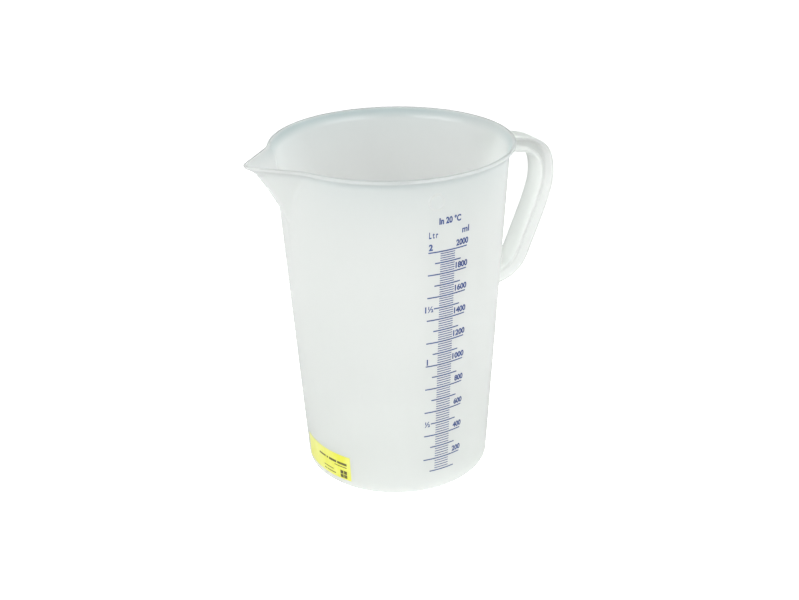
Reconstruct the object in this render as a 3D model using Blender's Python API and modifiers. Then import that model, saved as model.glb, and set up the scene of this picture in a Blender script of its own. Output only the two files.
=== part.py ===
"""Two litre measuring jug: a turned and drawn-out body, an I-section handle, a printed scale and a label.

Metres, +Z up. The jug stands on z = 0 with its handle towards +X, its spout towards -X and its
scale towards -Y. The origin is the middle of the jug's footprint box, from spout tip to handle.
"""
import math

import bmesh
import bpy
import numpy as np
from mathutils import Matrix

# Body, a straight taper from the base up to the rim
HEIGHT = 0.2137
BASE_RADIUS = 0.0596          # outside, where the taper meets the table plane
TOP_RADIUS = 0.0715           # outside, where the taper meets the rim plane
WALL = 0.0018
FLOOR = 0.0022
FOOT_HEIGHT = 0.0030          # the floor's underside above the table
FOOT_WIDTH = 0.0036
FOOT_FILLET = 0.0016
FLOOR_FILLET = 0.0050

# Lip, a flare with a rounded edge
LIP_OUT = 0.0032
LIP_DEPTH = 0.0070
LIP_EDGE = 0.0018
LIP_ROUND = 0.0007
LIP_STEPS = 5                 # rings up each side of the flare

# Spout, a V drawn out of the wall
SPOUT_OUT = 0.0227            # lip tip, out from the wall's top radius
SPOUT_START = 0.0417          # where it leaves the wall, below the rim
SPOUT_CURVE = 1.35
SPOUT_TIP_ROUND = 0.0045
SPOUT_BLEND = 0.0012
V_HALF_ANGLE = math.radians(45.0)
SPOUT_STEPS = 7               # rings from the spout's start to the lip

# Handle, a closed loop of I-section
HANDLE_OUT = 0.0427           # grip's outer face, out from the wall's top radius
HANDLE_WIDTH = 0.0165
HANDLE_DEPTH = 0.0103
FLANGE = 0.0023
WEB = 0.0025
ARM_DROP = 0.0103             # top face where it meets the wall, below the rim
GRIP_DROP = 0.0387            # widest point of the loop, below the rim
HEEL_DROP = 0.1094            # underside of the lower arm, below the rim
SHOULDER_IN = 0.0190          # where the upper arm starts to bend, in from the grip
SHOULDER_RISE = 0.0003
HEEL_IN = 0.0168              # where the straight grip ends, in from its widest point
HEEL_RISE = 0.0173
HANDLE_STEPS = 8              # rings along each of the loop's four curves
ROOT_SINK = 0.0040
JOIN_GAP = 0.0003
UPPER_ROOT_AIM = (1.0, 0.18)  # the loop's heading at each of its knots, and its reaches there
UPPER_ROOT_REACH = 0.0080
SHOULDER_AIM = (1.0, -0.20)
SHOULDER_REACH = (0.0090, 0.0135)
WIDEST_REACH = (0.0160, 0.0120)
HEEL_AIM = (-0.37, -0.93)
HEEL_REACH = (0.0170, 0.0140)
LOWER_ROOT_AIM = (-1.0, -0.10)
LOWER_ROOT_REACH = 0.0180

# Printed scale
SCALE_LONG = 0.0254
SCALE_MEDIUM = 0.0170
SCALE_COLUMN = (-0.0052, 0.0043)
SCALE_ANGLE = math.radians(-90.0)
MARK_HEIGHT = 0.0006
FULL_LITRES = 2.0
LONG_EVERY = 2                # hundreds of millilitres
INK = 0.0002
PRINT_GAP = 0.0003

# Label
LABEL_WIDTH = 0.0440
LABEL_BOTTOM = 0.0047
LABEL_HEIGHT = 0.0180
LABEL_THICKNESS = 0.0002
LABEL_EDGE_ANGLE = math.radians(-147.0)
LABEL_COLUMNS = 13

# Materials, each a colour, a roughness and a share of light let through
NATURAL_PLASTIC = ((0.86, 0.90, 0.88), 0.32, 0.6)
BLUE_INK = ((0.05, 0.10, 0.36), 0.5)
YELLOW_FILM = ((0.93, 0.82, 0.05), 0.4)
SHARP_ANGLE = math.radians(35.0)

COLUMNS = 96                  # facets round the body
CORNER_STEPS = 5              # rings round the foot's and the floor's corners
EDGE_STEPS = 4                # rings round the lip's edge
HALVINGS = 50                 # in the search for a fill height
CROWDING = 0.65               # how much closer they stand at the spout
AXIS_X = (SPOUT_OUT - HANDLE_OUT) / 2


def clear_scene():
    for thing in list(bpy.data.objects):
        bpy.data.objects.remove(thing, do_unlink=True)


def new_collection(name):
    collection = bpy.data.collections.new(name)
    bpy.context.scene.collection.children.link(collection)
    return collection


def plastic(name, colour, roughness, transmission=0.0):
    material = bpy.data.materials.new(name)
    material.use_nodes = True
    shader = material.node_tree.nodes["Principled BSDF"]
    shader.inputs["Base Color"].default_value = (*colour, 1.0)
    shader.inputs["Roughness"].default_value = roughness
    shader.inputs["Metallic"].default_value = 0.0
    shader.inputs["Transmission Weight"].default_value = transmission
    return material


def place(name, mesh, collection, material):
    """Put a mesh made about the jug's axis into the model's frame."""
    thing = bpy.data.objects.new(name, mesh)
    thing.location = (AXIS_X, 0.0, 0.0)
    collection.objects.link(thing)
    mesh.materials.append(material)
    mesh.shade_smooth()
    mesh.set_sharp_from_angle(angle=SHARP_ANGLE)
    return thing


# Body

def wall_radius(z):
    return BASE_RADIUS + (TOP_RADIUS - BASE_RADIUS) * z / HEIGHT


def spout_reach(z):
    """How far the beak's tip stands out of the wall at a height."""
    full = TOP_RADIUS + SPOUT_OUT - LIP_OUT - wall_radius(HEIGHT - LIP_ROUND)
    rise = (z - HEIGHT + LIP_ROUND + SPOUT_START) / SPOUT_START
    return full * min(max(rise, 0.0), 1.0) ** SPOUT_CURVE


def column_angles():
    """Angles from the spout, crowded together at its tip."""
    turn = np.arange(COLUMNS) / COLUMNS * 2.0 - 1.0
    return math.pi * (turn - CROWDING * np.sin(math.pi * turn) / math.pi)


def beak_radius(angle, tip, rounding):
    """A V with a round tip, as its distance from the axis at each angle from the spout."""
    centre = tip - rounding
    apex = centre + rounding / math.sin(V_HALF_ANGLE)
    touch = math.atan2(rounding * math.cos(V_HALF_ANGLE), centre + rounding * math.sin(V_HALF_ANGLE))
    turn = np.minimum(np.abs(angle), math.pi / 2 - V_HALF_ANGLE)
    near = np.minimum(turn, touch)
    arc = centre * np.cos(near) + np.sqrt(rounding ** 2 - (centre * np.sin(near)) ** 2)
    line = apex * math.sin(V_HALF_ANGLE) / np.sin(turn + V_HALF_ANGLE)
    return np.where(turn < touch, arc, line)


def outline(z):
    """The wall's outer outline at a height: a circle, blended into the beak where there is one."""
    angle = column_angles()
    radius = np.full(COLUMNS, wall_radius(z))
    reach = spout_reach(z)
    if reach > 0.0:
        share = reach / spout_reach(HEIGHT)
        beak = beak_radius(angle, wall_radius(z) + reach, SPOUT_TIP_ROUND)
        blend = SPOUT_BLEND * share
        radius = (radius + beak + np.hypot(radius - beak, blend)) / 2
    return np.stack([-radius * np.cos(angle), -radius * np.sin(angle)], axis=1)


def shifted(points, out):
    """An outline moved outwards along its own normals."""
    along = np.roll(points, -1, axis=0) - np.roll(points, 1, axis=0)
    normal = np.stack([along[:, 1], -along[:, 0]], axis=1)
    normal /= np.linalg.norm(normal, axis=1, keepdims=True)
    return points + out * normal


def wall_ring(z, out):
    points = shifted(outline(z), out)
    return np.column_stack([points, np.full(COLUMNS, z)])


def disc_ring(z, radius):
    angle = column_angles()
    return np.column_stack([-radius * np.cos(angle), -radius * np.sin(angle), np.full(COLUMNS, z)])


def flare(low, high, out_low, out_high, steps):
    """The lip's flare, a parabola that leaves the wall straight up."""
    rise = np.linspace(0.0, 1.0, steps)
    return [(low + (high - low) * t, out_low + (out_high - out_low) * t * t) for t in rise]


def quarter(centre, radius, start, steps):
    """A quarter circle in the (z, out) plane, turned from a start angle."""
    turn = np.radians(start + np.linspace(0.0, 90.0, steps))
    return [(centre[0] + radius * math.sin(t), centre[1] + radius * math.cos(t)) for t in turn]


def body_rings():
    """Rings from the middle of the underside, out and up the outside, over the lip and down inside."""
    levels = np.linspace(HEIGHT - SPOUT_START, HEIGHT - LIP_DEPTH, SPOUT_STEPS)
    inner = [(z, -WALL) for z in levels]
    outer = [(z, 0.0) for z in levels]
    foot = quarter((FOOT_FILLET, -FOOT_FILLET), FOOT_FILLET, -90.0, CORNER_STEPS)
    edge = quarter((HEIGHT - LIP_ROUND, LIP_OUT - LIP_ROUND), LIP_ROUND, 0.0, EDGE_STEPS)
    lip_outside = flare(HEIGHT - LIP_DEPTH, HEIGHT - LIP_EDGE, 0.0, LIP_OUT, LIP_STEPS)
    lip_inside = flare(HEIGHT - LIP_DEPTH, HEIGHT, -WALL, LIP_OUT - LIP_EDGE, LIP_STEPS)
    floor_top = FOOT_HEIGHT + FLOOR
    corner_middle = (floor_top + FLOOR_FILLET, -WALL - FLOOR_FILLET)
    corner = quarter(corner_middle, FLOOR_FILLET, -90.0, CORNER_STEPS)
    foot_inside = wall_radius(0.0) - FOOT_WIDTH
    rings = [disc_ring(FOOT_HEIGHT, foot_inside / 2)]
    rings += [disc_ring(FOOT_HEIGHT, foot_inside), disc_ring(0.0, foot_inside)]
    rings += [wall_ring(z, out) for z, out in foot + outer + lip_outside[1:] + edge]
    rings += [wall_ring(z, out) for z, out in lip_inside[::-1] + inner[-2::-1] + corner[::-1]]
    rings.append(disc_ring(floor_top, (wall_radius(floor_top) - WALL - FLOOR_FILLET) / 2))
    return rings


def lofted(name, rings):
    """A closed skin over rings of equal count, with a pole at each end."""
    count = len(rings[0])
    points = np.concatenate(rings)
    poles = [rings[0].mean(axis=0), rings[-1].mean(axis=0)]
    poles = [(0.0, 0.0, float(pole[2])) for pole in poles]
    faces = []
    for ring in range(len(rings) - 1):
        for side in range(count):
            a = ring * count + side
            b = ring * count + (side + 1) % count
            faces.append((a, b, b + count, a + count))
    last = (len(rings) - 1) * count
    for side in range(count):
        after = (side + 1) % count
        faces.append((len(points), after, side))
        faces.append((len(points) + 1, last + side, last + after))
    mesh = bpy.data.meshes.new(name)
    mesh.from_pydata([tuple(p) for p in points.tolist()] + poles, [], faces)
    return mesh


def make_body(parts):
    mesh = lofted("jug_body", body_rings())
    return place("jug_body", mesh, parts, plastic("natural polypropylene", *NATURAL_PLASTIC))


# Handle

def bezier(knots, steps):
    """Points along a chain of cubic curves; a knot is (point, direction, reach back, reach ahead)."""
    points = []
    for (p0, d0, _, ahead), (p1, d1, back, _) in zip(knots, knots[1:]):
        p0, p1, d0, d1 = (np.array(v) for v in (p0, p1, d0, d1))
        c0 = p0 + d0 / np.linalg.norm(d0) * ahead
        c1 = p1 - d1 / np.linalg.norm(d1) * back
        for t in np.arange(steps) / steps:
            s = 1.0 - t
            points.append(s ** 3 * p0 + 3 * s * s * t * c0 + 3 * s * t * t * c1 + t ** 3 * p1)
    points.append(np.array(knots[-1][0]))
    return np.array(points)


def handle_path():
    """The loop's middle line in the XZ plane, from the upper root round to the lower one."""
    half = HANDLE_DEPTH / 2
    top = HEIGHT - ARM_DROP - half
    low = HEIGHT - HEEL_DROP + half
    grip = TOP_RADIUS + HANDLE_OUT - half
    upper_root = ((wall_radius(top) - ROOT_SINK, top), UPPER_ROOT_AIM, 0.0, UPPER_ROOT_REACH)
    shoulder = ((grip - SHOULDER_IN, top + SHOULDER_RISE), SHOULDER_AIM, *SHOULDER_REACH)
    widest = ((grip, HEIGHT - GRIP_DROP), (0.0, -1.0), *WIDEST_REACH)
    heel = ((grip - HEEL_IN, low + HEEL_RISE), HEEL_AIM, *HEEL_REACH)
    lower_root = ((wall_radius(low) - ROOT_SINK, low), LOWER_ROOT_AIM, LOWER_ROOT_REACH, 0.0)
    return bezier([upper_root, shoulder, widest, heel, lower_root], HANDLE_STEPS)


def i_section():
    """The handle's section, across (y) and through (depth), as one closed outline."""
    wide = HANDLE_WIDTH / 2
    deep = HANDLE_DEPTH / 2
    thin = WEB / 2
    neck = deep - FLANGE
    quarter_turn = [(wide, deep), (wide, neck), (thin, neck)]
    right = quarter_turn + [(y, -d) for y, d in quarter_turn[::-1]]
    return right + [(-y, d) for y, d in right[::-1]]


def handle_mesh():
    """The I-section carried along the loop, square to it."""
    path = handle_path()
    ahead = np.gradient(path, axis=0)
    ahead /= np.linalg.norm(ahead, axis=1, keepdims=True)
    out = np.stack([-ahead[:, 1], ahead[:, 0]], axis=1)
    section = i_section()
    form = bmesh.new()
    rings = []
    for point, normal in zip(path, out):
        spots = [(point[0] + normal[0] * d, y, point[1] + normal[1] * d) for y, d in section]
        rings.append([form.verts.new(spot) for spot in spots])
    for ring, following in zip(rings, rings[1:]):
        for side in range(len(section)):
            after = (side + 1) % len(section)
            form.faces.new((ring[side], ring[after], following[after], following[side]))
    form.faces.new(rings[0][::-1])
    form.faces.new(rings[-1])
    bmesh.ops.recalc_face_normals(form, faces=form.faces)
    mesh = bpy.data.meshes.new("handle")
    form.to_mesh(mesh)
    form.free()
    return mesh


def wall_cutter(cutters):
    """The tapered wall's outside with the joint's gap, taller and deeper than the handle's roots."""
    spread = wall_radius(HEIGHT) - wall_radius(0.0)
    mesh = bpy.data.meshes.new("wall_cutter")
    form = bmesh.new()
    bmesh.ops.create_cone(form, cap_ends=True, segments=COLUMNS * 2, radius1=BASE_RADIUS + JOIN_GAP,
                          radius2=BASE_RADIUS + spread + JOIN_GAP, depth=HEIGHT,
                          matrix=Matrix.Translation((0.0, 0.0, HEIGHT / 2)))
    form.to_mesh(mesh)
    form.free()
    cutter = bpy.data.objects.new("wall_cutter", mesh)
    cutter.location = (AXIS_X, 0.0, 0.0)
    cutter.hide_render = True
    cutter.display_type = "WIRE"
    cutters.objects.link(cutter)
    return cutter


def make_handle(parts, cutters):
    material = plastic("natural polypropylene handle", *NATURAL_PLASTIC)
    handle = place("handle", handle_mesh(), parts, material)
    cut = handle.modifiers.new("meets the wall", "BOOLEAN")
    cut.operation = "DIFFERENCE"
    cut.solver = "EXACT"
    cut.object = wall_cutter(cutters)
    return handle


# Scale and label, thin curved sheets just off the wall

def inside_volume(z):
    """Litres up to a height: a tapered cylinder standing on the floor, less its fillet."""
    floor_top = FOOT_HEIGHT + FLOOR
    low = wall_radius(floor_top) - WALL
    high = wall_radius(z) - WALL
    cone = math.pi * (z - floor_top) * (low * low + low * high + high * high) / 3
    fillet = 2 * math.pi * low * FLOOR_FILLET ** 2 * (1 - math.pi / 4)
    return (cone - fillet) * 1000.0


def fill_height(litres):
    """The height at which the jug holds a volume, found by halving."""
    low = FOOT_HEIGHT + FLOOR
    high = HEIGHT * 2
    for _ in range(HALVINGS):
        middle = (low + high) / 2
        if inside_volume(middle) < litres:
            low = middle
        else:
            high = middle
    return (low + high) / 2


def on_wall(across, z, middle, gap):
    """A point on the wall, a distance round it from a middle azimuth, lifted by a gap."""
    radius = wall_radius(z) + gap
    angle = middle + across / wall_radius(z)
    return (radius * math.cos(angle), radius * math.sin(angle), z)


def curved_sheet(name, across, heights, wanted, middle):
    """A sheet without thickness over the wanted cells of a grid on the wall."""
    form = bmesh.new()
    grid = [[form.verts.new(on_wall(s, z, middle, PRINT_GAP)) for s in across] for z in heights]
    for row in range(len(heights) - 1):
        for column in range(len(across) - 1):
            if wanted(row, column):
                form.faces.new((grid[row][column], grid[row][column + 1],
                                grid[row + 1][column + 1], grid[row + 1][column]))
    loose = [vert for vert in form.verts if not vert.link_faces]
    bmesh.ops.delete(form, geom=loose, context="VERTS")
    mesh = bpy.data.meshes.new(name)
    form.to_mesh(mesh)
    form.free()
    return mesh


def thicken(thing, thickness):
    """Give a sheet its thickness outwards."""
    solid = thing.modifiers.new("thickness", "SOLIDIFY")
    solid.thickness = thickness
    solid.offset = 1.0
    solid.use_even_offset = True


def make_scale(parts):
    """The column of fine marks, with a medium or a long mark each 100 ml."""
    hundreds = range(1, round(FULL_LITRES * 10) + 1)
    heights = []
    for hundred in hundreds:
        level = fill_height(hundred / 10)
        heights += [level - MARK_HEIGHT / 2, level + MARK_HEIGHT / 2]
    middle = sum(SCALE_COLUMN) / 2
    across = [-SCALE_LONG / 2, -SCALE_MEDIUM / 2, SCALE_COLUMN[0], middle, SCALE_COLUMN[1],
              SCALE_MEDIUM / 2, SCALE_LONG / 2]

    def inked(row, column):
        in_column = column in (2, 3)
        on_mark = row % 2 == 0
        long_mark = (row // 2 + 1) % LONG_EVERY == 0
        return in_column or (on_mark and (long_mark or column in (1, 4)))

    mesh = curved_sheet("printed_scale", across, heights, inked, SCALE_ANGLE)
    scale = place("printed_scale", mesh, parts, plastic("blue ink", *BLUE_INK))
    thicken(scale, INK)
    return scale


def make_label(parts):
    across = np.linspace(-LABEL_WIDTH, 0.0, LABEL_COLUMNS).tolist()
    heights = [LABEL_BOTTOM, LABEL_BOTTOM + LABEL_HEIGHT]
    mesh = curved_sheet("product_label", across, heights, lambda row, column: True,
                        LABEL_EDGE_ANGLE)
    label = place("product_label", mesh, parts, plastic("yellow label", *YELLOW_FILM))
    thicken(label, LABEL_THICKNESS)
    return label


def main():
    clear_scene()
    parts = new_collection("measuring_jug")
    cutters = new_collection("cutters")
    make_body(parts)
    make_handle(parts, cutters)
    make_scale(parts)
    make_label(parts)


main()
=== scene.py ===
import math

import bmesh
import bpy
import numpy as np
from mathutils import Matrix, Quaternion, Vector


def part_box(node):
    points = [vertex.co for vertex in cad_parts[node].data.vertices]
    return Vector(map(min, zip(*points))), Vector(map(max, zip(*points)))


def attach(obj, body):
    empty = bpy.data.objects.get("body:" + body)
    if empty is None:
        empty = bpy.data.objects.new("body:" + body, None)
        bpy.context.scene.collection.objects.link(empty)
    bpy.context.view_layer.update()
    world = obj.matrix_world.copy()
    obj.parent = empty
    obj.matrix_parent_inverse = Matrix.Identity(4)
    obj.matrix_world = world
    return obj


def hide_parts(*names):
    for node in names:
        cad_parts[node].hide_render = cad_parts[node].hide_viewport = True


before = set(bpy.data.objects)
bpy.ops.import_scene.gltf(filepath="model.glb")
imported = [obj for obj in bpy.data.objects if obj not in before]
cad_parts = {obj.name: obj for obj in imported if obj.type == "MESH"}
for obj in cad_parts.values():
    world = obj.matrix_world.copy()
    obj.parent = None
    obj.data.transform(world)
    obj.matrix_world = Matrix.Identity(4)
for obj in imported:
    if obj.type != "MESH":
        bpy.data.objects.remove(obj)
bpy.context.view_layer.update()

# THE JUG'S BODY
# A tapered beaker with a raised floor, a flared lip and a V spout, part of one injection
# moulding of natural polypropylene. It has no pigment, so it is milky and lets light through.

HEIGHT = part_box("jug_body")[1].z
BASE_RADIUS = 0.0596          # outside, where the taper meets the table
TOP_RADIUS = 0.0715           # outside, where the taper meets the rim plane
WALL = 0.0018
FLOOR = 0.0022
FOOT_HEIGHT = 0.0030          # the floor's underside above the table
FOOT_WIDTH = 0.0036
FOOT_FILLET = 0.0016
FOOT_EDGE = 0.0006
FLOOR_FILLET = 0.0050
LIP_OUT = 0.0032
LIP_DEPTH = 0.0070
LIP_EDGE = 0.0018
LIP_ROUND = 0.0007
SPOUT_OUT = 0.0227            # lip tip, out from the wall's top radius
SPOUT_START = 0.0417          # where the spout leaves the wall, below the rim
SPOUT_CURVE = 1.35
SPOUT_TIP_ROUND = 0.0045
SPOUT_BLEND = 0.0012
V_HALF_ANGLE = math.radians(45.0)
GATE_RADIUS = 0.0016          # the trimmed sprue in the middle of the underside
GATE_DROP = 0.0005
AXIS_X = -0.0100              # the origin is midway from spout tip to handle, so the axis is off it
LIP_SHADE_EDGE = 0.0          # how much shade is painted into the colour at the lip's edge
LIP_SHADE_INSIDE = 1.05
LIP_SHADE_UNDER = 0.15
LIP_SHADE_POWERS = (1.3, 8)   # how it comes up inside the lip, and goes again at the edge
BRIM_SHADE = 0.16             # how much of it shows in the wall below the lip
BRIM_DEPTH = 0.0450
SPOUT_SHADE_FADE = (math.radians(30.0), 0.8)   # how far beside the spout, and how much, the painted shade fades
ROOT_SHADE_FADE = (math.radians(35.0), 0.6)    # and beside the handle's root
BODY_COLUMNS = 480
CROWDING = 0.65               # how much closer the columns stand at the spout
FLAT_RINGS = 8                # rings across the floor, and across its underside
GATE_RINGS = 4
FOOT_EDGE_RINGS = 5
FOOT_RINGS = 8
TAPER_RINGS = 12              # up the wall below the spout
SPOUT_RINGS = 24              # up the wall beside the spout
FLARE_RINGS = 12
LIP_RINGS = 7
FLOOR_FILLET_RINGS = 9


def wall_radius(z):
    """The outer wall is a straight taper from the base to the rim."""
    return BASE_RADIUS + (TOP_RADIUS - BASE_RADIUS) * z / HEIGHT


def spout_reach(z):
    """How far the beak stands out: a power of the height above the spout's start."""
    full = TOP_RADIUS + SPOUT_OUT - LIP_OUT - wall_radius(HEIGHT - LIP_ROUND)
    rise = (z - HEIGHT + LIP_ROUND + SPOUT_START) / SPOUT_START
    return full * np.clip(rise, 0.0, 1.0) ** SPOUT_CURVE


def beak_radius(angle, tip):
    """Distance from the axis to a V with a round tip: a circle near the tip, a line after it."""
    centre = tip - SPOUT_TIP_ROUND
    apex = centre + SPOUT_TIP_ROUND / math.sin(V_HALF_ANGLE)
    touch = np.arctan2(SPOUT_TIP_ROUND * math.cos(V_HALF_ANGLE),
                       centre + SPOUT_TIP_ROUND * math.sin(V_HALF_ANGLE))
    turn = np.minimum(np.abs(angle), math.pi / 2 - V_HALF_ANGLE)
    near = np.minimum(turn, touch)
    arc = centre * np.cos(near) + np.sqrt(SPOUT_TIP_ROUND ** 2 - (centre * np.sin(near)) ** 2)
    line = apex * math.sin(V_HALF_ANGLE) / np.sin(turn + V_HALF_ANGLE)
    return np.where(turn < touch, arc, line)


def wall_surface(z, out, angle):
    """Points of the wall by height and by angle from the spout. The outline at a height is the larger
    of a circle and the beak, with a soft edge between them, then moved outwards along its normals."""
    z, out = z[:, None], out[:, None]
    wall, reach = wall_radius(z), spout_reach(z)
    beak = beak_radius(angle[None, :], wall + reach)
    blend = SPOUT_BLEND * reach / spout_reach(HEIGHT)
    radius = (wall + beak + np.hypot(wall - beak, blend)) / 2
    x, y = -radius * np.cos(angle), -radius * np.sin(angle)
    dx, dy = (np.roll(v, -1, axis=1) - np.roll(v, 1, axis=1) for v in (x, y))
    long = np.hypot(dx, dy)
    return np.stack([AXIS_X + x + out * dy / long, y - out * dx / long, z + 0 * x], axis=2)


def arc(centre, radius, start, turn, steps):
    """Part of a circle in the (height, out) plane, from a start angle through a turn, in degrees."""
    angle = np.radians(start + turn * np.linspace(0.0, 1.0, steps))
    return np.column_stack([centre[0] + radius * np.sin(angle), centre[1] + radius * np.cos(angle)])


def straight(start, end, steps):
    """Evenly spaced points between two ends, the ends themselves left out."""
    share = np.linspace(0.0, 1.0, steps + 2)[1:-1, None]
    return (1 - share) * np.array(start) + share * np.array(end)


def flare(low, high, out_low, out_high, steps):
    """The lip's flare: out grows with the square of the height, so it leaves the wall smoothly."""
    rise = np.linspace(0.0, 1.0, steps)
    return np.column_stack([low + (high - low) * rise, out_low + (out_high - out_low) * rise ** 2])


def ring_faces(rings, columns):
    """Quads between rings of points that close on themselves."""
    row, column = np.meshgrid(np.arange(rings - 1), np.arange(columns), indexing="ij")
    after = (column + 1) % columns
    quads = [row * columns + column, row * columns + after,
             (row + 1) * columns + after, (row + 1) * columns + column]
    return np.stack(quads, axis=2).reshape(-1, 4)


def put_mesh(name, points, faces, **shares):
    """A smooth mesh object from an array of points and arrays of faces, each of one corner count. The
    shares are kept as attributes of the points."""
    corners = np.concatenate([part.ravel() for part in faces]).astype(np.int32)
    sizes = np.concatenate([np.full(len(part), part.shape[1]) for part in faces])
    mesh = bpy.data.meshes.new(name)
    mesh.vertices.add(len(points))
    mesh.vertices.foreach_set("co", np.asarray(points, np.float32).ravel())
    mesh.loops.add(len(corners))
    mesh.loops.foreach_set("vertex_index", corners)
    mesh.polygons.add(len(sizes))
    mesh.polygons.foreach_set("loop_start", (np.cumsum(sizes) - sizes).astype(np.int32))
    mesh.update(calc_edges=True)
    mesh.validate()
    mesh.shade_smooth()
    for share, values in shares.items():
        values = np.broadcast_to(values, len(points)).astype(np.float32)
        mesh.attributes.new(share, "FLOAT", "POINT").data.foreach_set("value", values)
    thing = bpy.data.objects.new(name, mesh)
    bpy.context.scene.collection.objects.link(thing)
    return thing


floor_top = FOOT_HEIGHT + FLOOR
lip_low, spout_low = HEIGHT - LIP_DEPTH, HEIGHT - SPOUT_START
to_axis = -wall_radius(FOOT_HEIGHT)
gate_face = FOOT_HEIGHT - GATE_DROP
profile = np.concatenate([
    [(gate_face, to_axis + GATE_RADIUS / 2)],
    arc((gate_face + GATE_DROP, to_axis + GATE_RADIUS), GATE_DROP, 180.0, -90.0, GATE_RINGS),
    straight((FOOT_HEIGHT, to_axis + GATE_RADIUS), (FOOT_HEIGHT, -FOOT_WIDTH), FLAT_RINGS),
    arc((FOOT_HEIGHT - FOOT_EDGE, -FOOT_WIDTH - FOOT_EDGE), FOOT_EDGE, 90.0, -90.0, FOOT_EDGE_RINGS),
    arc((FOOT_EDGE, -FOOT_WIDTH + FOOT_EDGE), FOOT_EDGE, 180.0, 90.0, FOOT_EDGE_RINGS),
    arc((FOOT_FILLET, -FOOT_FILLET), FOOT_FILLET, -90.0, 90.0, FOOT_RINGS),
    straight((FOOT_FILLET, 0.0), (spout_low, 0.0), TAPER_RINGS),
    straight((spout_low, 0.0), (lip_low, 0.0), SPOUT_RINGS),
    flare(lip_low, HEIGHT - LIP_EDGE, 0.0, LIP_OUT, FLARE_RINGS),
    arc((HEIGHT - LIP_ROUND, LIP_OUT - LIP_ROUND), LIP_ROUND, 0.0, 90.0, LIP_RINGS),
    flare(lip_low, HEIGHT, -WALL, LIP_OUT - LIP_EDGE, FLARE_RINGS)[::-1],
    straight((lip_low, -WALL), (spout_low, -WALL), SPOUT_RINGS),
    straight((spout_low, -WALL), (floor_top + FLOOR_FILLET, -WALL), TAPER_RINGS),
    arc((floor_top + FLOOR_FILLET, -WALL - FLOOR_FILLET), FLOOR_FILLET, 0.0, -90.0, FLOOR_FILLET_RINGS),
    straight((floor_top, -WALL - FLOOR_FILLET), (floor_top, to_axis), FLAT_RINGS),
])
heights, outs = profile.T
turn = np.arange(BODY_COLUMNS) / BODY_COLUMNS * 2.0 - 1.0
columns = math.pi * (turn - CROWDING * np.sin(math.pi * turn) / math.pi)
rings = wall_surface(heights, outs, columns)
count = len(profile) * BODY_COLUMNS
poles = [(AXIS_X, 0.0, heights[0]), (AXIS_X, 0.0, heights[-1])]
first = np.arange(BODY_COLUMNS)
last = count - BODY_COLUMNS + first

# The painted shade runs from 0, plain plastic, to about 1 where the colour is painted darkest. It grows
# with the height inside the lip and drops to nothing at its edge, shows a little in the wall below the
# lip, and fades beside the spout and the handle's root.
rise = np.clip((heights - lip_low) / LIP_DEPTH, 0.0, 1.0)
comes, goes = LIP_SHADE_POWERS
inside_lip = LIP_SHADE_INSIDE * (rise ** comes * (1.0 - rise ** goes))
brim = BRIM_SHADE * np.clip(1.0 + (heights - lip_low) / BRIM_DEPTH, 0.0, 1.0) ** 2
is_inside = np.arange(len(profile)) >= np.argmax(heights)
shade = np.where(outs > LIP_OUT - LIP_ROUND, LIP_SHADE_EDGE,
                 brim + np.where(is_inside, inside_lip, LIP_SHADE_UNDER * rise))
beside = 1.0
for angle, (reach, amount) in ((np.abs(columns), SPOUT_SHADE_FADE), (math.pi - np.abs(columns), ROOT_SHADE_FADE)):
    beside = beside - amount * np.exp(-(angle / reach) ** 2)
# the painted shade, kept on the points as the lip attribute
lip = np.concatenate([(shade[:, None] * beside).ravel(), [0.0, 0.0]])
jug = put_mesh("jug_moulding", np.concatenate([rings.reshape(-1, 3), poles]), [
    ring_faces(len(profile), BODY_COLUMNS),
    np.stack([np.full(BODY_COLUMNS, count), np.roll(first, -1), first], axis=1),
    np.stack([np.full(BODY_COLUMNS, count + 1), last, np.roll(last, -1)], axis=1),
], lip=lip)

# THE HANDLE
# A closed loop of I-section, moulded with the body: two flanges joined by a web, thin enough to
# cool evenly. Its edges are rounded, and it flows into the wall through a small fillet.

HANDLE_OUT = 0.0427           # grip's outer face, out from the wall's top radius
HANDLE_WIDTH = 0.0165
HANDLE_DEPTH = 0.0103
FLANGE = 0.0023
WEB = 0.0025
DRAFT = 0.00015               # how much each face of a flange slopes, for release from the mould
CROWN_ROUND = 0.0600
FLANGE_EDGE = 0.0007
WEB_CORNER = 0.0012
ROOT_FILLET = 0.0010
ROOT_SINK = 0.0009            # how far the roots reach into the wall, to merge with it
ARM_DROP = 0.0103             # top face where it meets the wall, below the rim
GRIP_DROP = 0.0387            # widest point of the loop, below the rim
HEEL_DROP = 0.1094            # underside of the lower arm, below the rim
SHOULDER_IN = 0.0190
SHOULDER_RISE = 0.0003
HEEL_IN = 0.0168
HEEL_RISE = 0.0173
UPPER_ROOT_AIM = (1.0, 0.18)  # the path's heading at each of its knots, and its reaches there
UPPER_ROOT_REACH = 0.0080
SHOULDER_AIM = (1.0, -0.20)
SHOULDER_REACH = (0.0090, 0.0135)
WIDEST_REACH = (0.0160, 0.0120)
HEEL_AIM = (-0.37, -0.93)
HEEL_REACH = (0.0170, 0.0140)
LOWER_ROOT_AIM = (-1.0, -0.10)
LOWER_ROOT_REACH = 0.0180
PATH_SINK = 0.0040            # how deep in the wall the path's ends are
PATH_STEPS = 200              # points on each of the path's four curves
LOOP_RINGS = 130
FILLET_RINGS = 9
CORNER_STEPS = 6


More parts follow.
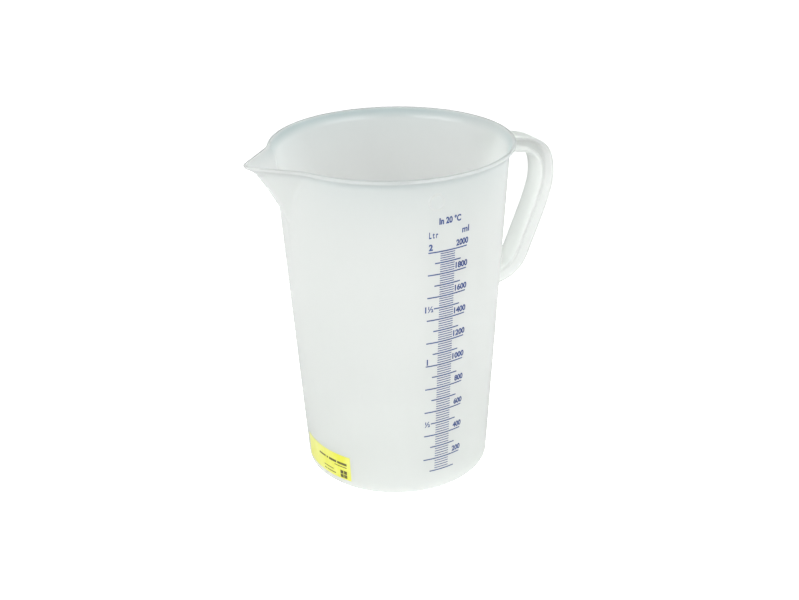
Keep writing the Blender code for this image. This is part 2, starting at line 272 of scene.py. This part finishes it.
def bezier(knots, steps):
    """Points along a chain of cubic curves; a knot is a point, a heading, a reach back and one ahead."""
    share = np.linspace(0.0, 1.0, steps, endpoint=False)[:, None]
    rest = 1.0 - share
    curves = []
    for (p0, d0, _, ahead), (p1, d1, back, _) in zip(knots, knots[1:]):
        p0, p1, d0, d1 = (np.array(v) for v in (p0, p1, d0, d1))
        c0 = p0 + d0 / np.linalg.norm(d0) * ahead
        c1 = p1 - d1 / np.linalg.norm(d1) * back
        curves.append(rest ** 3 * p0 + 3 * rest ** 2 * share * c0 + 3 * rest * share ** 2 * c1
                      + share ** 3 * p1)
    return np.concatenate(curves + [[knots[-1][0]]])


def rounded(corners, radii, steps):
    """A closed outline whose corners are replaced by arcs that touch both their sides."""
    corners, radii = np.array(corners), np.array(radii)[:, None]
    before = np.roll(corners, 1, axis=0) - corners
    after = np.roll(corners, -1, axis=0) - corners
    before /= np.linalg.norm(before, axis=1, keepdims=True)
    after /= np.linalg.norm(after, axis=1, keepdims=True)
    half = np.arccos((before * after).sum(axis=1, keepdims=True)) / 2
    middle = (before + after) / np.linalg.norm(before + after, axis=1, keepdims=True)
    centre = corners + middle * radii / np.sin(half)
    start = corners + before * radii / np.tan(half) - centre
    end = corners + after * radii / np.tan(half) - centre
    share = np.linspace(0.0, 1.0, steps)[None, :, None]
    spread = math.pi - 2 * half[:, :, None]
    turned = np.sin((1 - share) * spread) * start[:, None] + np.sin(share * spread) * end[:, None]
    return (centre[:, None] + turned / np.sin(spread)).reshape(-1, 2)


half_depth, half_width = HANDLE_DEPTH / 2, HANDLE_WIDTH / 2
arm, heel = HEIGHT - ARM_DROP - half_depth, HEIGHT - HEEL_DROP + half_depth
grip = TOP_RADIUS + HANDLE_OUT - half_depth
path = bezier([
    ((wall_radius(arm) - PATH_SINK, arm), UPPER_ROOT_AIM, 0.0, UPPER_ROOT_REACH),
    ((grip - SHOULDER_IN, arm + SHOULDER_RISE), SHOULDER_AIM, *SHOULDER_REACH),
    ((grip, HEIGHT - GRIP_DROP), (0.0, -1.0), *WIDEST_REACH),
    ((grip - HEEL_IN, heel + HEEL_RISE), HEEL_AIM, *HEEL_REACH),
    ((wall_radius(heel) - PATH_SINK, heel), LOWER_ROOT_AIM, LOWER_ROOT_REACH, 0.0),
], PATH_STEPS)
ahead = np.gradient(path, axis=0)
ahead /= np.linalg.norm(ahead, axis=1, keepdims=True)
outward = np.stack([-ahead[:, 1], ahead[:, 0]], axis=1)
travel = np.concatenate([[0.0], np.cumsum(np.linalg.norm(np.diff(path, axis=0), axis=1))])

neck = half_depth - FLANGE
quarter = [(half_width, half_depth - DRAFT), (half_width, neck + DRAFT), (WEB / 2, neck - DRAFT)]
right = [(0.0, half_depth)] + quarter + [(y, -d) for y, d in quarter[::-1]]
radii = [CROWN_ROUND, FLANGE_EDGE, FLANGE_EDGE, WEB_CORNER, WEB_CORNER, FLANGE_EDGE, FLANGE_EDGE]
section = rounded(right + [(-y, -d) for y, d in right], radii * 2, CORNER_STEPS)
along = np.roll(section, -1, axis=0) - np.roll(section, 1, axis=0)
along /= np.linalg.norm(along, axis=1, keepdims=True)
grows = np.stack([-along[:, 1], along[:, 0]], axis=1)

# Each point of the section draws a fibre along the path, which starts and ends in the wall. The
# rings of the loop share out every fibre's own length, so the end rings follow the round wall.
across, deep = section.T
clear = (np.hypot(path[:, :1] + outward[:, :1] * deep, across)
         - wall_radius(path[:, 1:] + outward[:, 1:] * deep) > -ROOT_SINK)
starts = travel[np.argmax(clear, axis=0)]
ends = travel[len(path) - 1 - np.argmax(clear[::-1], axis=0)]
fillet = np.radians(np.linspace(0.0, 90.0, FILLET_RINGS))
near = np.concatenate([[0.0, ROOT_SINK / 2], ROOT_SINK + ROOT_FILLET * (1 - np.cos(fillet))])
swell = np.concatenate([[ROOT_FILLET, ROOT_FILLET], ROOT_FILLET * (1 - np.sin(fillet))])
share = np.linspace(0.0, 1.0, LOOP_RINGS)[:, None]
loop = (1 - share) * (starts + near[-1]) + share * (ends - near[-1])
reach = np.concatenate([starts + near[:-1, None], loop, ends - near[-2::-1, None]])
swell = np.concatenate([swell[:-1], np.zeros(LOOP_RINGS), swell[-2::-1]])[:, None]
x, z, out_x, out_z = (np.interp(reach, travel, row) for row in (*path.T, *outward.T))
deep = deep + swell * grows[:, 1]
points = np.stack([AXIS_X + x + out_x * deep, across + swell * grows[:, 0], z + out_z * deep], axis=2)
first = np.arange(len(section))
last = (len(reach) - 1) * len(section) + first
handle = put_mesh("handle", points.reshape(-1, 3), [
    ring_faces(len(reach), len(section))[:, ::-1], first[None, :], last[None, ::-1]])

# THE RAISED MARK
# A plain ring cut into the mould stands proud of the wall above the scale.

MARK_HEIGHT = 0.1980
MARK_ANGLE = math.radians(-96.7)
MARK_RADIUS = 0.0046
MARK_BAND = 0.0005            # half the ring's width
MARK_PROUD = 0.0003
MARK_STEPS = (96, 12)         # round the ring, and round its band
SHARP_ANGLE = math.radians(40.0)


def on_wall(across, z, middle, gap):
    """Points on the wall: a distance round it from a middle azimuth, a height, and a gap off it."""
    radius = wall_radius(z) + gap
    angle = middle + across / wall_radius(z)
    return np.stack([AXIS_X + radius * np.cos(angle), radius * np.sin(angle), z + 0 * angle], axis=-1)


round_ring, round_band = (np.arange(n) / n * math.tau for n in MARK_STEPS)
reach = MARK_RADIUS + MARK_BAND * np.cos(round_band)[None, :]
proud = MARK_PROUD * np.sin(round_band)[None, :] + 0 * round_ring[:, None]
points = on_wall(reach * np.cos(round_ring)[:, None],
                 MARK_HEIGHT + reach * np.sin(round_ring)[:, None], MARK_ANGLE, proud)
quads = ring_faces(MARK_STEPS[0] + 1, MARK_STEPS[1])[:, ::-1] % (MARK_STEPS[0] * MARK_STEPS[1])
mark = put_mesh("mark", points.reshape(-1, 3), [quads])

# The mould fills body, handle and mark in one shot, so they are joined into one surface.
for shape in (handle, mark):
    union = jug.modifiers.new(shape.name, "BOOLEAN")
    union.operation = "UNION"
    union.object = shape
bpy.context.view_layer.update()
moulding = bpy.data.meshes.new_from_object(jug.evaluated_get(bpy.context.evaluated_depsgraph_get()))
jug.modifiers.clear()
jug.data = moulding
for shape in (handle, mark):
    bpy.data.objects.remove(shape)
moulding.shade_smooth()
moulding.set_sharp_from_angle(angle=SHARP_ANGLE)

# Points of the handle that stand off the wall are marked as thick.
places = np.empty(len(moulding.vertices) * 3, np.float32)
moulding.vertices.foreach_get("co", places)
x, y, z = places.reshape(-1, 3).T
off_wall = np.hypot(x - AXIS_X, y) - wall_radius(z) > ROOT_FILLET / 2
thick = off_wall & (x > 0.0) & (z < lip_low)
moulding.attributes.new("thick", "FLOAT", "POINT").data.foreach_set("value", thick.astype(np.float32))

# THE MOULDING'S PLASTIC
# Natural polypropylene straight from a polished mould: milky and faintly green, with soft clouds
# and streaks from the way it flowed and a fine texture. Shade is painted into its colour inside and
# under the lip, and the thick handle scatters more light than the wall.

STREAK_STRETCH = (1.0, 1.0, 0.06)   # a small share draws a noise out along that direction
STREAK_SCALE = 260.0
SCUFF_STRETCH = (1.0, 0.12, 1.0)
SCUFF_TURN = (0.7, 0.4, 0.9)
SCUFF_SCALE = 520.0
SCUFF_CREST = (0.60, 0.72)     # the noise's values where a scuff starts and is full
STREAK_RELIEF = 0.6
SCUFF_RELIEF = -0.05
STREAK_SHARE = 0.5             # how much the streaks count in the colour, beside the clouds
COLOUR_SPREAD = (0.5, 1.0)     # the values between which one colour turns into the other
SCUFF_ROUGHNESS = 0.10
PLASTIC_SURFACE = (0.045, 0.0011, 0.00002, 0.0)   # cloud size, grain size, grain depth, scuffs
PLASTIC_COLOUR = (0.972, 0.985, 0.974)
PLASTIC_DENSE = (0.963, 0.979, 0.966)
# painted shade: the dark teal put into the colour inside and under the lip
LIP_SHADE_PAINT_COLOUR = (0.60, 0.73, 0.74)
PLASTIC_THICK = (0.963, 0.978, 0.965)
PLASTIC_ROUGHNESS = 0.14
WALL_GLOW = 0.40               # share of the light that comes through scattered every way
THICK_GLOW = 0.82              # the same in the handle, which is thicker
PLASTIC_CLARITY = 0.65         # share of the rest that comes through blurred
PLASTIC_IOR = 1.49
PLASTIC_SHINE = 0.90           # the specular level, 0.5 being plain


def link(tree, source, target):
    """Feeds the target socket from the source socket."""
    tree.links.new(source, target)


def add(tree, kind, settings=(), **inputs):
    """A shader node; each input is a value or the socket that feeds it, by name with _ for a space."""
    node = tree.nodes.new(kind)
    for name, value in dict(settings).items():
        setattr(node, name, value)
    for name, value in inputs.items():
        socket = node.inputs[name.replace("_", " ")]
        if isinstance(value, bpy.types.NodeSocket):
            tree.links.new(value, socket)
        else:
            socket.default_value = value
    return node


def surface_group():
    """Clouds are broad noise, streaks are noise drawn out along Z, and scuffs are the thin crests of
    a third noise. Relief adds fine grain to them, for a Bump node."""
    group = bpy.data.node_groups.new("moulded surface", "ShaderNodeTree")
    sockets = group.interface
    sockets.new_socket("Position", in_out="INPUT", socket_type="NodeSocketVector")
    for name in ("Cloud size", "Grain size", "Scuffing"):
        sockets.new_socket(name, in_out="INPUT", socket_type="NodeSocketFloat")
    for name in ("Cloud", "Streak", "Scuff", "Relief"):
        sockets.new_socket(name, in_out="OUTPUT", socket_type="NodeSocketFloat")
    given = group.nodes.new("NodeGroupInput")
    place = given.outputs["Position"]
    scaled = {}
    for name in ("Cloud size", "Grain size"):
        inverse = add(group, "ShaderNodeMath", {"operation": "DIVIDE"})
        inverse.inputs[0].default_value = 1.0
        link(group, given.outputs[name], inverse.inputs[1])
        scaled[name] = inverse.outputs[0]
    cloud = add(group, "ShaderNodeTexNoise", Vector=place, Scale=scaled["Cloud size"], Detail=3.0,
                Roughness=0.45)
    drawn = add(group, "ShaderNodeMapping", Vector=place, Scale=STREAK_STRETCH)
    streak = add(group, "ShaderNodeTexNoise", Vector=drawn.outputs[0], Scale=STREAK_SCALE, Detail=2.0)
    turned = add(group, "ShaderNodeMapping", Vector=place, Rotation=SCUFF_TURN, Scale=SCUFF_STRETCH)
    scuffs = add(group, "ShaderNodeTexNoise", Vector=turned.outputs[0], Scale=SCUFF_SCALE, Detail=4.0,
                 Roughness=0.6)
    crest = add(group, "ShaderNodeMapRange", Value=scuffs.outputs[0], From_Min=SCUFF_CREST[0],
                From_Max=SCUFF_CREST[1])
    patch = add(group, "ShaderNodeMath", {"operation": "MULTIPLY"})
    link(group, crest.outputs[0], patch.inputs[0])
    link(group, given.outputs["Scuffing"], patch.inputs[1])
    grain = add(group, "ShaderNodeTexNoise", Vector=place, Scale=scaled["Grain size"], Detail=2.0)
    ripple = add(group, "ShaderNodeMath", {"operation": "MULTIPLY_ADD"})
    link(group, streak.outputs[0], ripple.inputs[0])
    ripple.inputs[1].default_value = STREAK_RELIEF
    link(group, grain.outputs[0], ripple.inputs[2])
    relief = add(group, "ShaderNodeMath", {"operation": "MULTIPLY_ADD"})
    link(group, patch.outputs[0], relief.inputs[0])
    relief.inputs[1].default_value = SCUFF_RELIEF
    link(group, ripple.outputs[0], relief.inputs[2])
    result = group.nodes.new("NodeGroupOutput")
    for name, source in (("Cloud", cloud), ("Streak", streak), ("Scuff", patch), ("Relief", relief)):
        link(group, source.outputs[0], result.inputs[name])
    return group


def surfaced(name, colours, roughness, cloud_size, grain_size, grain_depth, scuffing):
    """A material with the moulded surface. The clouds plus half of the streaks turn its first colour
    into its second, the scuffs add to its roughness, and the relief is its bump."""
    material = bpy.data.materials.new(name)
    material.use_nodes = True
    tree = material.node_tree
    shader = tree.nodes["Principled BSDF"]
    place = tree.nodes.new("ShaderNodeTexCoord").outputs["Object"]
    detail = add(tree, "ShaderNodeGroup", {"node_tree": MOULDED_SURFACE}, Position=place,
                 Cloud_size=cloud_size, Grain_size=grain_size, Scuffing=scuffing)
    both = add(tree, "ShaderNodeMath", {"operation": "MULTIPLY_ADD"})
    link(tree, detail.outputs["Streak"], both.inputs[0])
    both.inputs[1].default_value = STREAK_SHARE
    link(tree, detail.outputs["Cloud"], both.inputs[2])
    spread = add(tree, "ShaderNodeMapRange", Value=both.outputs[0], From_Min=COLOUR_SPREAD[0],
                 From_Max=COLOUR_SPREAD[1])
    mixed = add(tree, "ShaderNodeMix", {"data_type": "RGBA"})
    link(tree, spread.outputs[0], mixed.inputs["Factor"])
    for socket, colour in zip((mixed.inputs[6], mixed.inputs[7]), colours):
        socket.default_value = (*colour, 1.0)
    link(tree, mixed.outputs[2], shader.inputs["Base Color"])
    rough = add(tree, "ShaderNodeMath", {"operation": "MULTIPLY_ADD"})
    link(tree, detail.outputs["Scuff"], rough.inputs[0])
    rough.inputs[1].default_value = SCUFF_ROUGHNESS
    rough.inputs[2].default_value = roughness
    link(tree, rough.outputs[0], shader.inputs["Roughness"])
    bump = add(tree, "ShaderNodeBump", Height=detail.outputs["Relief"], Distance=grain_depth)
    link(tree, bump.outputs[0], shader.inputs["Normal"])
    return material, shader


MOULDED_SURFACE = surface_group()
plastic, shader = surfaced("natural_polypropylene", (PLASTIC_COLOUR, PLASTIC_DENSE),
                           PLASTIC_ROUGHNESS, *PLASTIC_SURFACE)
shader.inputs["IOR"].default_value = PLASTIC_IOR
shader.inputs["Specular IOR Level"].default_value = PLASTIC_SHINE
shader.inputs["Transmission Weight"].default_value = PLASTIC_CLARITY
tree = plastic.node_tree
is_thick = add(tree, "ShaderNodeAttribute", {"attribute_name": "thick"})
paler = add(tree, "ShaderNodeMix", {"data_type": "RGBA"})
link(tree, is_thick.outputs["Fac"], paler.inputs["Factor"])
link(tree, shader.inputs["Base Color"].links[0].from_socket, paler.inputs[6])
paler.inputs[7].default_value = (*PLASTIC_THICK, 1.0)
# The lip attribute paints shade into the base colour, inside and under the lip.
in_lip = add(tree, "ShaderNodeAttribute", {"attribute_name": "lip"})
painted_lip_shade = add(tree, "ShaderNodeMix", {"data_type": "RGBA"})
link(tree, in_lip.outputs["Fac"], painted_lip_shade.inputs["Factor"])
link(tree, paler.outputs[2], painted_lip_shade.inputs[6])
painted_lip_shade.inputs[7].default_value = (*LIP_SHADE_PAINT_COLOUR, 1.0)
link(tree, painted_lip_shade.outputs[2], shader.inputs["Base Color"])
glow = add(tree, "ShaderNodeBsdfTranslucent", Color=painted_lip_shade.outputs[2],
           Normal=shader.inputs["Normal"].links[0].from_socket)
glow_share = add(tree, "ShaderNodeMapRange", Value=is_thick.outputs["Fac"], To_Min=WALL_GLOW,
                 To_Max=THICK_GLOW)
milky = add(tree, "ShaderNodeMixShader", Fac=glow_share.outputs[0])
link(tree, shader.outputs[0], milky.inputs[1])
link(tree, glow.outputs[0], milky.inputs[2])
link(tree, milky.outputs[0], tree.nodes["Material Output"].inputs["Surface"])
moulding.materials.clear()
moulding.materials.append(plastic)
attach(jug, "root")
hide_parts("jug_body", "handle")

# THE PRINTED SCALE
# Dark blue ink, screen printed on the wall: a line each 20 ml at its true height, longer at each
# 100 and 200 ml, with numbers and the units millilitre and litre.

FULL_LITRES = 2.0
LOWEST_LITRES = 0.1
LINE_LITRES = 0.02
SCALE_ANGLE = math.radians(-90.0)
LONG_REACH = 0.0127
MEDIUM_REACH = 0.0085
COLUMN_LEFT, COLUMN_RIGHT = -0.0052, 0.0043
LINE_THICK = 0.00056
LONG_THICK = 0.00078
INK_GAP = 0.00004             # a hair of air under the ink, so that it doesn't flicker with the wall
INK = 0.00004
LINE_STEPS = 12
NUMBER_HEIGHT = 0.0041
NUMBER_WIDTH = 0.00215        # of each digit
NUMBER_RIGHT = 0.0136
NUMBER_RISE = 0.0013          # above the middle of its line
LETTER_BOLD = 0.042
LETTER_ROUND = 4              # steps in each of a letter's curves
SIDE_NUMBERS = (              # text, litres, left end, rise above the line, width, boldness
    ("2", 2.0, -0.0125, NUMBER_RISE, 0.0025, LETTER_BOLD),
    ("1", 1.0, -0.0121, 0.0008, 0.0008, 0.0),
    ("1", 1.5, -0.0139, -0.0022, 0.0008, 0.0),
    ("\u00bd", 1.5, -0.0122, -0.0022, 0.0034, 0.022),
    ("\u00bd", 0.5, -0.0124, -0.0022, 0.0034, 0.022),
)
HEADINGS = (                  # text, left end, bottom, width, height, boldness, letter spacing
    ("Ltr", -0.0125, 0.1763, 0.0055, 0.0041, 0.028, 1.5),
    ("ml", 0.0088, 0.1763, 0.0051, 0.0041, 0.03, 1.0),
    ("In 20 \u00b0C", -0.0065, 0.1842, 0.0142, 0.0044, LETTER_BOLD, 1.0),
)
INK_COLOUR = (0.012, 0.031, 0.145)
INK_THIN = (0.028, 0.062, 0.220)
INK_ROUGHNESS = 0.38
INK_SURFACE = (0.004, 0.0003, 0.00001, 0.8)


def fill_height(litres):
    """The height at which the jug holds a volume. The inside is a cone's frustum less the floor's
    fillet, and the height is read off its curve."""
    z = np.linspace(floor_top, HEIGHT, 2001)
    low, high = wall_radius(floor_top) - WALL, wall_radius(z) - WALL
    cone = math.pi * (z - floor_top) * (low * low + low * high + high * high) / 3
    fillet = 2 * math.pi * low * FLOOR_FILLET ** 2 * (1 - math.pi / 4)
    return np.interp(litres, (cone - fillet) * 1000.0, z)


def wall_strips(left, right, low, high, middle, gap, thick, steps):
    """Thin closed strips along the wall, one for each left and right end, low and high edge."""
    left, right, low, high = (np.asarray(v, float)[:, None, None] for v in (left, right, low, high))
    share = np.linspace(0.0, 1.0, steps)[None, :, None]
    edge = np.array([0.0, 0.0, 1.0, 1.0])
    off = gap + thick * np.array([0.0, 1.0, 1.0, 0.0])
    across = left + (right - left) * share + 0 * edge
    points = on_wall(across, low + (high - low) * edge + 0 * share, middle, off)
    strips, each = len(points), steps * 4
    sides = ring_faces(steps, 4)[:, ::-1]
    caps = np.array([[0, 1, 2, 3], [each - 1, each - 2, each - 3, each - 4]])
    faces = np.concatenate([sides, caps])[None] + (np.arange(strips) * each)[:, None, None]
    return points.reshape(-1, 3), faces.reshape(-1, 4)


def lettering(text, left, low, wide, tall, bold=LETTER_BOLD, spacing=1.0):
    """The outline of a text as a flat mesh, fitted to a box; its thickness runs along z."""
    curve = bpy.data.curves.new(text, "FONT")
    curve.body = text
    curve.offset = bold
    curve.space_character = spacing
    curve.extrude = 0.5
    curve.resolution_u = LETTER_ROUND
    thing = bpy.data.objects.new(text, curve)
    bpy.context.scene.collection.objects.link(thing)
    bpy.context.view_layer.update()
    flat = bpy.data.meshes.new_from_object(thing.evaluated_get(bpy.context.evaluated_depsgraph_get()))
    bpy.data.objects.remove(thing)
    points = np.empty(len(flat.vertices) * 3, np.float32)
    flat.vertices.foreach_get("co", points)
    points = points.reshape(-1, 3)
    size = np.ptp(points, axis=0)
    points = (points - points.min(axis=0)) / size * (wide, tall, 1.0) + (left, low, 0.0)
    flat.vertices.foreach_set("co", points.astype(np.float32).ravel())
    return flat


def wrap(name, flats, middle, gap, thick):
    """Flat meshes joined and laid round the wall: x runs round it, y up it and z off it."""
    form = bmesh.new()
    for flat in flats:
        form.from_mesh(flat)
        bpy.data.meshes.remove(flat)
    bmesh.ops.remove_doubles(form, verts=form.verts, dist=1e-6)
    bmesh.ops.recalc_face_normals(form, faces=form.faces)
    mesh = bpy.data.meshes.new(name)
    form.to_mesh(mesh)
    form.free()
    points = np.empty(len(mesh.vertices) * 3, np.float32)
    mesh.vertices.foreach_get("co", points)
    across, high, off = points.reshape(-1, 3).T
    points = on_wall(across, high, middle, gap + thick * off)
    mesh.vertices.foreach_set("co", points.astype(np.float32).ravel())
    thing = bpy.data.objects.new(name, mesh)
    bpy.context.scene.collection.objects.link(thing)
    return thing


lines = np.arange(round(LOWEST_LITRES / LINE_LITRES), round(FULL_LITRES / LINE_LITRES) + 1)
level = fill_height(lines * LINE_LITRES)
is_long, is_medium = lines % 10 == 0, lines % 5 == 0
left = np.where(is_long, -LONG_REACH, np.where(is_medium, -MEDIUM_REACH, COLUMN_LEFT))
right = np.where(is_long, LONG_REACH, np.where(is_medium, MEDIUM_REACH, COLUMN_RIGHT))
half = np.where(is_long | is_medium, LONG_THICK, LINE_THICK) / 2
points, faces = wall_strips(left, right, level - half, level + half,
                            SCALE_ANGLE, INK_GAP, INK, LINE_STEPS)
scale_lines = put_mesh("scale_lines", points, [faces])
scale_lines.data.shade_flat()

flats = []
for hundreds in range(2, 21, 2):
    text = str(hundreds * 100)
    wide = NUMBER_WIDTH * len(text)
    low = fill_height(hundreds / 10) + NUMBER_RISE
    flats.append(lettering(text, NUMBER_RIGHT - wide, low, wide, NUMBER_HEIGHT))
for text, litres, left, rise, wide, bold in SIDE_NUMBERS:
    flats.append(lettering(text, left, fill_height(litres) + rise, wide, NUMBER_HEIGHT, bold))
flats += [lettering(*heading) for heading in HEADINGS]
scale_numbers = wrap("scale_numbers", flats, SCALE_ANGLE, INK_GAP, INK)
ink, _ = surfaced("blue_ink", (INK_COLOUR, INK_THIN), INK_ROUGHNESS, *INK_SURFACE)
for piece in (scale_lines, scale_numbers):
    piece.data.materials.append(ink)
    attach(piece, "root")
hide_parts("printed_scale")

# THE LABEL
# A yellow self-adhesive film pressed on near the base, with near-black print. Plain bars and a
# block of squares stand where a seller's print would be.

LABEL_WIDTH = 0.0440
LABEL_BOTTOM = 0.0047
LABEL_HEIGHT = 0.0180
LABEL_FILM = 0.00010
LABEL_GAP = 0.00003
LABEL_ANGLE = math.radians(-147.0)   # its right-hand edge
LABEL_STEPS = 60
LABEL_ROUGHNESS = 0.34
LABEL_SURFACE = (0.012, 0.0005, 0.00001, 0.7)
LABEL_COLOUR = (0.68, 0.68, 0.035)
LABEL_FADED = (0.74, 0.75, 0.20)
LABEL_INK_COLOUR = (0.055, 0.050, 0.012)
LABEL_INK_FADED = (0.12, 0.11, 0.02)
LABEL_INK_ROUGHNESS = 0.45
LABEL_INK_SURFACE = (0.003, 0.0003, 0.00001, 0.8)
BAR_STEPS = 8
LABEL_BARS = (                 # left end, right end, bottom and top, from the right-hand edge
    (-0.0280, -0.0212, 0.0156, 0.0170), (-0.0203, -0.0188, 0.0156, 0.0170),
    (-0.0178, -0.0112, 0.0154, 0.0172), (-0.0104, -0.0028, 0.0154, 0.0172),
    (-0.0128, -0.0030, 0.0136, 0.0142), (-0.0232, -0.0142, 0.0092, 0.0098),
    (-0.0200, -0.0124, 0.0066, 0.0073), (-0.0232, -0.0206, 0.0066, 0.0073),
    (-0.0082, -0.0058, 0.0086, 0.0112), (-0.0054, -0.0030, 0.0086, 0.0112),
    (-0.0082, -0.0058, 0.0056, 0.0082), (-0.0054, -0.0030, 0.0056, 0.0082),
)

points, faces = wall_strips([-LABEL_WIDTH], [0.0], [LABEL_BOTTOM], [LABEL_BOTTOM + LABEL_HEIGHT],
                            LABEL_ANGLE, LABEL_GAP, LABEL_FILM, LABEL_STEPS)
label = put_mesh("label_film", points, [faces])
label.data.shade_flat()
yellow, _ = surfaced("yellow_label", (LABEL_COLOUR, LABEL_FADED), LABEL_ROUGHNESS, *LABEL_SURFACE)
label.data.materials.append(yellow)
points, faces = wall_strips(*np.array(LABEL_BARS).T, LABEL_ANGLE, LABEL_GAP + LABEL_FILM, INK / 2,
                            BAR_STEPS)
label_print = put_mesh("label_print", points, [faces])
label_print.data.shade_flat()
label_ink, _ = surfaced("label_ink", (LABEL_INK_COLOUR, LABEL_INK_FADED), LABEL_INK_ROUGHNESS,
                        *LABEL_INK_SURFACE)
label_print.data.materials.append(label_ink)
for piece in (label, label_print):
    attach(piece, "root")
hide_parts("product_label")

# THE STUDIO
# A pale floor that glows in a dark room, two low softboxes beside the camera and a small one to the
# handle's side. The camera sees the floor and the room as white; the jug sees them dimmer.

FLOOR_REACH = 6.0
FLOOR_GAP = 0.0001
FLOOR_NEAR, FLOOR_FAR = 0.08, 0.30
FLOOR_LIGHT = (0.40, 0.72)     # how bright the floor is for the jug, near it and away from it
FLOOR_SEEN = 1.0               # and for the camera
FLOOR_CORNERS = 64
FLOOR_DARK, FLOOR_PALE = 0.94, 0.96
MOTTLE_SCALE = 3.0
FLOOR_ROUGHNESS = 0.9
angle = np.arange(FLOOR_CORNERS) / FLOOR_CORNERS * math.tau
disc = np.stack([FLOOR_REACH * np.cos(angle), FLOOR_REACH * np.sin(angle), 0 * angle - FLOOR_GAP],
                axis=1)
floor = put_mesh("studio_floor", disc, [np.arange(FLOOR_CORNERS)[None, :]])
paint = bpy.data.materials.new("white_sweep")
paint.use_nodes = True
tree = paint.node_tree
shader = tree.nodes["Principled BSDF"]
mottle = add(tree, "ShaderNodeTexNoise", Vector=tree.nodes.new("ShaderNodeTexCoord").outputs["Object"],
             Scale=MOTTLE_SCALE, Detail=3.0)
tint = add(tree, "ShaderNodeMix", {"data_type": "RGBA"})
link(tree, mottle.outputs[0], tint.inputs["Factor"])
tint.inputs[6].default_value = (FLOOR_DARK, FLOOR_DARK, FLOOR_DARK, 1.0)
tint.inputs[7].default_value = (FLOOR_PALE, FLOOR_PALE, FLOOR_PALE, 1.0)
link(tree, tint.outputs[2], shader.inputs["Base Color"])
shader.inputs["Roughness"].default_value = FLOOR_ROUGHNESS
shader.inputs["Emission Color"].default_value = (1.0, 1.0, 1.0, 1.0)
away = add(tree, "ShaderNodeVectorMath", {"operation": "LENGTH"})
link(tree, mottle.inputs["Vector"].links[0].from_socket, away.inputs[0])
lit = add(tree, "ShaderNodeMapRange", Value=away.outputs["Value"], From_Min=FLOOR_NEAR, From_Max=FLOOR_FAR,
          To_Min=FLOOR_LIGHT[0], To_Max=FLOOR_LIGHT[1])
seen = tree.nodes.new("ShaderNodeLightPath")
shine = add(tree, "ShaderNodeMapRange", Value=seen.outputs["Is Camera Ray"], To_Min=lit.outputs[0],
            To_Max=FLOOR_SEEN)
link(tree, shine.outputs[0], shader.inputs["Emission Strength"])
floor.data.materials.append(paint)

ROOM_COLOUR = (0.80, 0.82, 0.84)
ROOM_LIGHT = 0.12
ROOM_SEEN = 1.1
world = bpy.data.worlds.new("studio")
bpy.context.scene.world = world
world.use_nodes = True
tree = world.node_tree
back = tree.nodes["Background"]
back.inputs["Color"].default_value = (*ROOM_COLOUR, 1.0)
back.inputs["Strength"].default_value = ROOM_LIGHT
white = add(tree, "ShaderNodeBackground", Color=(1.0, 1.0, 1.0, 1.0), Strength=ROOM_SEEN)
seen = tree.nodes.new("ShaderNodeLightPath")
choose = tree.nodes.new("ShaderNodeMixShader")
link(tree, seen.outputs["Is Camera Ray"], choose.inputs[0])
link(tree, back.outputs[0], choose.inputs[1])
link(tree, white.outputs[0], choose.inputs[2])
link(tree, choose.outputs[0], tree.nodes["World Output"].inputs["Surface"])

CAMERA_PLACE = Vector((-0.3116, -0.5910, 0.4216))
CAMERA_TURN = math.radians(27.3)
CAMERA_TILT = math.radians(25.335)
CAMERA_ROLL = math.radians(-1.07)
CAMERA_LENS = 51.65
CAMERA_SENSOR = 36.0
CAMERA_CLIP = 0.01
MILKY_BOUNCES = 10            # light scattered in the jug's walls crosses them many times
CLEAR_BOUNCES = 16
JUG_MIDDLE = Vector((AXIS_X, 0.0, HEIGHT / 2))
SOFTBOXES = (                  # degrees left of the camera and up, distance, width, height, watts
    (50.0, 17.0, 1.3, 1.30, 0.80, 12.8),
    (-46.0, 17.0, 1.3, 1.30, 0.80, 12.0),
    (-98.0, 35.0, 0.6, 0.40, 0.40, 0.45),
)
for number, (aside, up, far, wide, tall, power) in enumerate(SOFTBOXES):
    turn, tilt = CAMERA_TURN + math.radians(aside), math.radians(up)
    lamp = bpy.data.lights.new(f"softbox_{number}", "AREA")
    lamp.shape = "RECTANGLE"
    lamp.size, lamp.size_y = wide, tall
    lamp.energy = power
    toward = Vector((-math.sin(turn) * math.cos(tilt), -math.cos(turn) * math.cos(tilt),
                     math.sin(tilt)))
    box = bpy.data.objects.new(lamp.name, lamp)
    box.location = JUG_MIDDLE + toward * far
    box.rotation_euler = (-toward).to_track_quat("-Z", "Y").to_euler()
    bpy.context.scene.collection.objects.link(box)

camera = bpy.data.objects.new("camera", bpy.data.cameras.new("camera"))
ahead = Vector((math.sin(CAMERA_TURN) * math.cos(CAMERA_TILT),
                math.cos(CAMERA_TURN) * math.cos(CAMERA_TILT), -math.sin(CAMERA_TILT)))
camera.location = CAMERA_PLACE
camera.rotation_mode = "QUATERNION"
camera.rotation_quaternion = ahead.to_track_quat("-Z", "Y") @ Quaternion((0, 0, 1), CAMERA_ROLL)
camera.data.lens = CAMERA_LENS
camera.data.sensor_width = CAMERA_SENSOR
camera.data.clip_start = CAMERA_CLIP
bpy.context.scene.collection.objects.link(camera)
bpy.context.scene.camera = camera
bpy.context.scene.view_settings.view_transform = "Standard"
paths = bpy.context.scene.cycles
paths.diffuse_bounces = paths.glossy_bounces = MILKY_BOUNCES
paths.transmission_bounces = paths.max_bounces = CLEAR_BOUNCES
